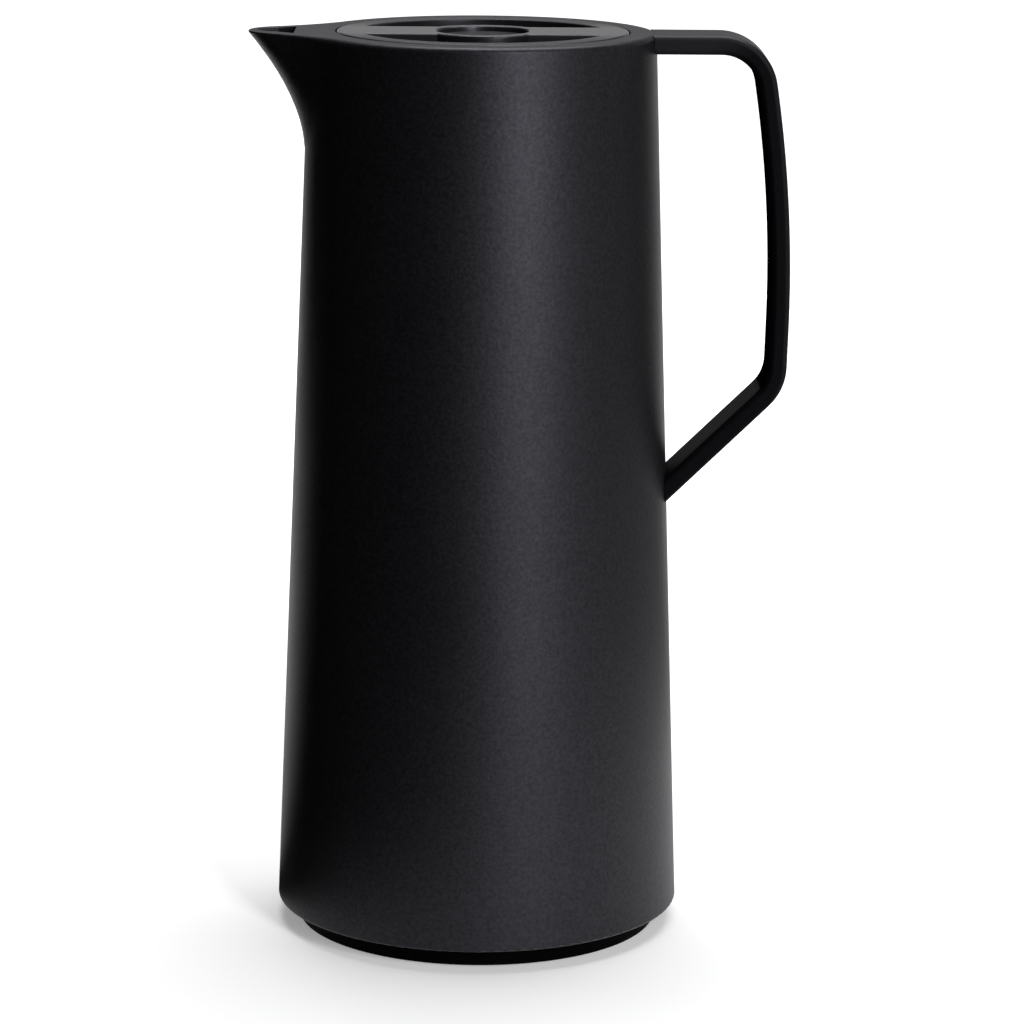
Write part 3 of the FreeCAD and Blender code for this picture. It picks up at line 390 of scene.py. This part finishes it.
def tube(base, rows, across):
    """The wall and the two ends of a tube, the first point of which is number base."""
    last = base + across * (rows - 1)
    ends = [tuple(range(first, first + across)) for first in (base, last)]
    return quads(base, rows, across, closed=True) + ends


def new_piece(name, body, slot, points, faces):
    """A mesh piece in the material of its slot, riding on a body, with its faces turned outwards."""
    mesh = bpy.data.meshes.new(name)
    mesh.from_pydata(points, [], faces)
    shape = bmesh.new()
    shape.from_mesh(mesh)
    bmesh.ops.recalc_face_normals(shape, faces=shape.faces)
    shape.to_mesh(mesh)
    shape.free()
    mesh.materials.append(MATERIALS[slot])
    thing = bpy.data.objects.new(name, mesh)
    bpy.context.scene.collection.objects.link(thing)
    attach(thing, body)
    return thing


RIB_COUNT = 2
RIB_SWEEP = 70.0  # degrees
RIB_STEPS = 36
RIB_RISE = 1.2 * MM
RIB_HEIGHT = 2.4 * MM
RIB_FADE = 0.2  # share of the length that runs out at each end
RIB_SECTION = ((0, 0), (1, 0.25), (1, 0.75), (0, 1))  # out, up
SKIRT_RIBS = {"root": 28.5 * MM, "crest": 29.15 * MM, "low": 246.5 * MM}
COLLAR_RIBS = {"root": 29.9 * MM, "crest": 29.25 * MM, "low": 251.0 * MM}


def ribs(root, crest, low):
    """Bayonet ribs that climb a little round the axis and run out at both ends."""
    points = []
    faces = []
    for rib in range(RIB_COUNT):
        faces += tube(len(points), RIB_STEPS + 1, len(RIB_SECTION))
        for step in range(RIB_STEPS + 1):
            share = step / RIB_STEPS
            angle = math.radians(360 / RIB_COUNT * rib + RIB_SWEEP * (share - 0.5))
            fade = min(1, share / RIB_FADE, (1 - share) / RIB_FADE)
            for out, up in RIB_SECTION:
                radius = root + (crest - root) * out * math.sin(fade * math.pi / 2)
                height = low + RIB_RISE * share + RIB_HEIGHT * up
                points.append((radius * math.cos(angle), radius * math.sin(angle), height))
    return points, faces


SCREW_RING = 40.6 * MM
SCREW_START = 45.0  # degrees
SCREW_COUNT = 4
SCREW_SIDES = 32
HEAD_RADIUS = 2.6 * MM
HEAD_HEIGHT = 1.4 * MM
HEAD_EDGE = 0.4 * MM
SHANK_RADIUS = 1.4 * MM
TIP_RADIUS = 0.4 * MM
TIP_LENGTH = 1.2 * MM
CROSS_ARMS = 4
CROSS_LENGTH = 1.5 * MM
CROSS_WIDTH = 0.35 * MM
CROSS_DEPTH = 0.9 * MM
CROSS_TURN = 4 / 3  # turn of a recess against its place round the lid, as driven screws stand askew


def one_screw(length):
    """A pan-head screw along +Z with its face at the origin and a cross recess in the face."""
    shape = bmesh.new()

    def ring(radius, height):
        turns = [2 * math.pi * side / SCREW_SIDES for side in range(SCREW_SIDES)]
        places = [(radius * math.cos(turn), radius * math.sin(turn), height) for turn in turns]
        return [shape.verts.new(place) for place in places]

    def cross(height):
        arm = [(CROSS_LENGTH, -CROSS_WIDTH), (CROSS_LENGTH, CROSS_WIDTH), (CROSS_WIDTH, CROSS_WIDTH)]
        corners = []
        for _ in range(CROSS_ARMS):
            corners += arm
            arm = [(-y, x) for x, y in arm]
        return [shape.verts.new((x, y, height)) for x, y in corners]

    def band(first, second):
        for side in range(len(first)):
            after = (side + 1) % len(first)
            shape.faces.new((first[side], first[after], second[after], second[side]))

    def loop(corners):
        return [shape.edges.new((corners[side - 1], corners[side])) for side in range(len(corners))]

    face = ring(HEAD_RADIUS - HEAD_EDGE, 0)
    recess = cross(0)
    bmesh.ops.triangle_fill(shape, use_beauty=True, edges=loop(face) + loop(recess))
    bottom = cross(CROSS_DEPTH)
    band(recess, bottom)
    shape.faces.new(bottom)
    profile = [
        (HEAD_RADIUS, HEAD_EDGE), (HEAD_RADIUS, HEAD_HEIGHT), (SHANK_RADIUS, HEAD_HEIGHT),
        (SHANK_RADIUS, length - TIP_LENGTH), (TIP_RADIUS, length)]
    last = face
    for radius, height in profile:
        following = ring(radius, height)
        band(last, following)
        last = following
    shape.faces.new(last)
    shape.verts.index_update()
    points = [tuple(vert.co) for vert in shape.verts]
    faces = [tuple(vert.index for vert in item.verts) for item in shape.faces]
    shape.free()
    return points, faces


def lid_screws():
    """The four screws under the lid, with cross recesses."""
    low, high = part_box("lid_screws")
    one_points, one_faces = one_screw(high.z - low.z)
    points = []
    faces = []
    for number in range(SCREW_COUNT):
        angle = math.radians(SCREW_START + 360 / SCREW_COUNT * number)
        spot = Vector((SCREW_RING * math.cos(angle), SCREW_RING * math.sin(angle), low.z))
        turn = Matrix.Rotation(angle * CROSS_TURN, 3, "Z")
        faces += [tuple(len(points) + index for index in face) for face in one_faces]
        points += [tuple(turn @ Vector(point) + spot) for point in one_points]
    return points, faces


WIRE_RADIUS = 0.4 * MM
WIRE_SIDES = 10
SPRING_TURNS = 5
STEPS_PER_TURN = 40
SPRING_STEPS = STEPS_PER_TURN * SPRING_TURNS


def return_spring(low, high):
    """The wire of the button's spring, wound between the corners of its box."""
    radius = high.x - WIRE_RADIUS
    climb = (high.z - low.z - 2 * WIRE_RADIUS) / (2 * math.pi * SPRING_TURNS)
    points = []
    for step in range(SPRING_STEPS + 1):
        angle = 2 * math.pi * SPRING_TURNS * step / SPRING_STEPS
        outward = Vector((math.cos(angle), math.sin(angle), 0))
        forward = Vector((-radius * math.sin(angle), radius * math.cos(angle), climb)).normalized()
        across = forward.cross(outward)
        middle = outward * radius + Vector((0, 0, low.z + WIRE_RADIUS + climb * angle))
        for side in range(WIRE_SIDES):
            turn = 2 * math.pi * side / WIRE_SIDES
            spoke = math.cos(turn) * outward + math.sin(turn) * across
            points.append(tuple(middle + WIRE_RADIUS * spoke))
    return points, tube(0, SPRING_STEPS + 1, WIRE_SIDES)


def add_spring():
    """The spring in the place of its solid."""
    low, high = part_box("button_spring")
    spring = new_piece("return_spring", "lid", "steel", *return_spring(low, high))
    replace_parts(spring, "button_spring")
    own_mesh(spring)


new_piece("skirt_ribs", "lid", "inner_black", *ribs(**SKIRT_RIBS))
new_piece("collar_ribs", "carafe", "inner_black", *ribs(**COLLAR_RIBS))
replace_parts(new_piece("cross_screws", "lid", "steel", *lid_screws()), "lid_screws")
add_spring()


# Studio

WHITE = (1, 1, 1, 1)
BLACK = (0, 0, 0, 1)


def around_axis(azimuth, distance, height):
    """A place round the carafe: azimuth 0 is the camera's side and 90 the handle's, in degrees."""
    angle = math.radians(azimuth)
    return (distance * math.sin(angle), -distance * math.cos(angle), height)


def softbox(name, place, target, size, power):
    """A rectangular lamp that points at a target."""
    lamp = bpy.data.lights.new(name, "AREA")
    lamp.shape = "RECTANGLE"
    lamp.size, lamp.size_y = size
    lamp.energy = power
    thing = bpy.data.objects.new(name, lamp)
    bpy.context.scene.collection.objects.link(thing)
    thing.location = place
    direction = Vector(target) - thing.location
    thing.rotation_euler = direction.to_track_quat("-Z", "Y").to_euler()


def stage_mesh(name, points, faces, material):
    """A mesh of the studio, which isn't part of the carafe."""
    mesh = bpy.data.meshes.new(name)
    mesh.from_pydata(points, [], faces)
    mesh.materials.append(material)
    thing = bpy.data.objects.new(name, mesh)
    bpy.context.scene.collection.objects.link(thing)
    return thing


def background_share(tree):
    """1 for rays from the camera, from gloss and through glass, and 0 for the rest."""
    path = tree.nodes.new("ShaderNodeLightPath")
    seen = path.outputs["Is Camera Ray"]
    for other in ("Is Glossy Ray", "Is Transmission Ray"):
        seen = combine(tree, "MAXIMUM", seen, path.outputs[other])
    return seen


FLOOR_RADIUS = 12.0
FLOOR_SIDES = 96
BACKDROP_HEIGHT = 2.2
FLOOR_WHITE = (0.80, 0.80, 0.80, 1)
FLOOR_ROUGHNESS = 0.9
# the lift to white grows from near the carafe, where its shadow lies, to further out
NEAR_LIFT = 0.28
FAR_LIFT = 1.0
LIFT_REACH = {"start": 0.15, "end": 1.2}


def floor_paint():
    """Pale matte paint that keeps the shadow and is lifted to white for the eye."""
    material, tree, shader = new_material("floor")
    set_sockets(
        shader,
        Base_Color=FLOOR_WHITE, Roughness=FLOOR_ROUGHNESS, Specular_IOR_Level=0.0, Emission_Color=WHITE)
    reach = tree.nodes.new("ShaderNodeVectorMath")
    reach.operation = "LENGTH"
    tree.links.new(place_of(tree), reach.inputs[0])
    lift = spread(tree, reach.outputs["Value"], NEAR_LIFT, FAR_LIFT, **LIFT_REACH)
    glow = combine(tree, "MULTIPLY", background_share(tree), lift)
    tree.links.new(glow, shader.inputs["Emission Strength"])
    return material


def make_floor():
    """A wide round floor with a low backdrop round it."""
    turns = [360 * side / FLOOR_SIDES for side in range(FLOOR_SIDES)]
    points = [around_axis(turn, FLOOR_RADIUS, height) for height in (0, BACKDROP_HEIGHT) for turn in turns]
    faces = [tuple(range(FLOOR_SIDES))] + quads(0, 2, FLOOR_SIDES, closed=True)
    stage_mesh("floor", points, faces, floor_paint())


CARD_STEPS = 32
# each row of a card: distance from the axis, height, azimuth where the row ends
FLAG_ROWS = ((0.066, 0.002, -112.0), (0.66, 0.002, -134.0), (0.72, 0.06, -150.0), (0.80, 0.95, -152.0))
FLAG_START = 14.0
FLAG_FRONT = 0.16
FLAG_LIGHT = 0
GREY_ROWS = ((0.30, 0.002, 149.0), (1.10, 0.002, 149.0), (1.20, 0.70, 149.0))
GREY_START = 42.0
GREY_LIGHT = 0.36


def make_card(name, rows, start, light, front=0):
    """A card round the carafe, seen only in reflections: a dark one keeps that side of the body black.

    At its start the card's near edge is further out by front.
    """
    points = []
    for step in range(CARD_STEPS + 1):
        share = step / CARD_STEPS
        for place, (distance, height, end) in enumerate(rows):
            if place == 0:
                distance += front * (1 - share) ** 2
            points.append(around_axis(start + (end - start) * share, distance, height))
    material, _, shader = new_material(name)
    set_sockets(
        shader, Base_Color=BLACK, Specular_IOR_Level=0.0, Emission_Color=WHITE, Emission_Strength=light)
    card = stage_mesh(name, points, quads(0, CARD_STEPS + 1, len(rows), closed=False), material)
    card.visible_camera = False
    card.visible_diffuse = False
    card.visible_shadow = False
    card.visible_transmission = False


WORLD_GREY = (0.12, 0.12, 0.124, 1)
KEY = {
    "place": around_axis(azimuth=27, distance=1.7, height=0.75),
    "target": (0, 0, 0.14), "size": (0.35, 1.1), "power": 22.5}
TOP = {"place": (0.15, 0.55, 1.9), "target": (0, 0.1, 0.2), "size": (1.6, 1.3), "power": 40}


def make_studio():
    """A narrow key lamp to the right, a broad one above, a white floor and two cards in a grey room."""
    world = bpy.data.worlds.new("studio")
    world.use_nodes = True
    set_sockets(world.node_tree.nodes["Background"], Color=WORLD_GREY)
    bpy.context.scene.world = world
    softbox("key", **KEY)
    softbox("top", **TOP)
    make_floor()
    make_card("flag", FLAG_ROWS, FLAG_START, FLAG_LIGHT, FLAG_FRONT)
    make_card("grey_card", GREY_ROWS, GREY_START, GREY_LIGHT)


# the photograph in pixels: its width, its focal length, the column of the carafe's axis and the middle row
IMAGE_PIXELS = 1024
FOCAL_PIXELS = 4019.2
AXIS_PIXEL = 479.4
LEVEL_PIXEL = 512.5
CAMERA_PLACE = (0, -1.2228, 0.3973)
CAMERA_PITCH = 12.357  # degrees down
CAMERA_ROLL = 0.416  # degrees


def make_camera():
    """The photograph's view: a long lens, a little above the lid, with the spout to the left."""
    data = bpy.data.cameras.new("camera")
    data.lens = data.sensor_width * FOCAL_PIXELS / IMAGE_PIXELS
    data.shift_x = 0.5 - AXIS_PIXEL / IMAGE_PIXELS
    data.shift_y = LEVEL_PIXEL / IMAGE_PIXELS - 0.5
    camera = bpy.data.objects.new("camera", data)
    bpy.context.scene.collection.objects.link(camera)
    pitch = Matrix.Rotation(math.radians(90 - CAMERA_PITCH), 4, "X")
    roll = Matrix.Rotation(math.radians(CAMERA_ROLL), 4, "Z")
    camera.matrix_world = Matrix.Translation(CAMERA_PLACE) @ pitch @ roll
    bpy.context.scene.camera = camera


make_studio()
make_camera()
bpy.context.scene.view_settings.view_transform = "Standard"
